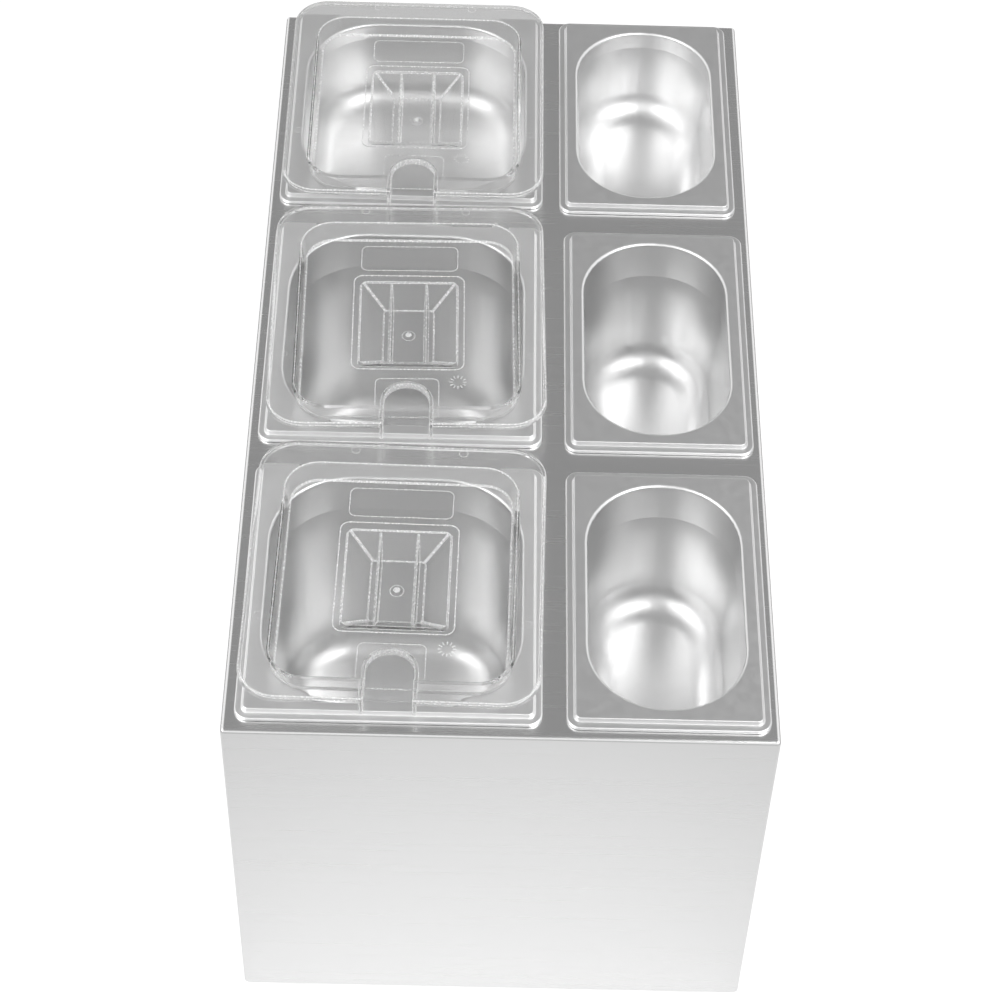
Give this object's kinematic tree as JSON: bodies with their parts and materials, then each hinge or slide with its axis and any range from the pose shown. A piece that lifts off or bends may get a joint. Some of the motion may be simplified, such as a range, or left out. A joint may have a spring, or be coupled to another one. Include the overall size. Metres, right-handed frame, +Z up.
{
  "type": "condiment pan holder",
  "caption": "Folded stainless steel countertop box whose deck holds drop-in gastronorm pans in two columns, one column under clear notched lids with finger grips.",
  "frame": {"origin": "centre of the footprint, on the surface that the rubber feet stand on", "axes": "+X to the right seen from the front, +Y from front to rear along the rows, +Z up"},
  "size_m": [0.294, 0.57, 0.2863],
  "materials": {
    "brushed_stainless": "stainless sheet with a fine brushed grain that runs from left to right",
    "satin_stainless": "deep-drawn stainless with a soft satin face",
    "clear_polycarbonate": "clear moulded plastic, glossy",
    "rubber_foot": "matte moulded rubber"
  },
  "bodies": {
    "housing": {"deck_wrap": "brushed_stainless", "left_side_panel": "brushed_stainless", "right_side_panel": "brushed_stainless", "cross_rail_front": "brushed_stainless", "cross_rail_rear": "brushed_stainless", "foot_front_left": "rubber_foot", "foot_rear_left": "rubber_foot", "foot_front_right": "rubber_foot", "foot_rear_right": "rubber_foot"},
    "sixth_pan_front": {"sixth_pan_front": "satin_stainless"},
    "sixth_pan_middle": {"sixth_pan_middle": "satin_stainless"},
    "sixth_pan_rear": {"sixth_pan_rear": "satin_stainless"},
    "ninth_pan_front": {"ninth_pan_front": "satin_stainless"},
    "ninth_pan_middle": {"ninth_pan_middle": "satin_stainless"},
    "ninth_pan_rear": {"ninth_pan_rear": "satin_stainless"},
    "lid_front": {"lid_front": "clear_polycarbonate"},
    "lid_middle": {"lid_middle": "clear_polycarbonate"},
    "lid_rear": {"lid_rear": "clear_polycarbonate"}
  },
  "joints": [
    {"name": "sixth_pan_front_lift", "type": "slide", "parent": "housing", "child": "sixth_pan_front", "axis": [0, 0, 1], "range_m": [0, 0.16]},
    {"name": "sixth_pan_middle_lift", "type": "slide", "parent": "housing", "child": "sixth_pan_middle", "axis": [0, 0, 1], "range_m": [0, 0.16]},
    {"name": "sixth_pan_rear_lift", "type": "slide", "parent": "housing", "child": "sixth_pan_rear", "axis": [0, 0, 1], "range_m": [0, 0.075]},
    {"name": "ninth_pan_front_lift", "type": "slide", "parent": "housing", "child": "ninth_pan_front", "axis": [0, 0, 1], "range_m": [0, 0.11]},
    {"name": "ninth_pan_middle_lift", "type": "slide", "parent": "housing", "child": "ninth_pan_middle", "axis": [0, 0, 1], "range_m": [0, 0.11]},
    {"name": "ninth_pan_rear_lift", "type": "slide", "parent": "housing", "child": "ninth_pan_rear", "axis": [0, 0, 1], "range_m": [0, 0.075]},
    {"name": "lid_front_lift", "type": "slide", "parent": "sixth_pan_front", "child": "lid_front", "axis": [0, 0, 1], "range_m": [0, 0.03]},
    {"name": "lid_middle_lift", "type": "slide", "parent": "sixth_pan_middle", "child": "lid_middle", "axis": [0, 0, 1], "range_m": [0, 0.03]},
    {"name": "lid_rear_lift", "type": "slide", "parent": "sixth_pan_rear", "child": "lid_rear", "axis": [0, 0, 1], "range_m": [0, 0.03]}
  ]
}
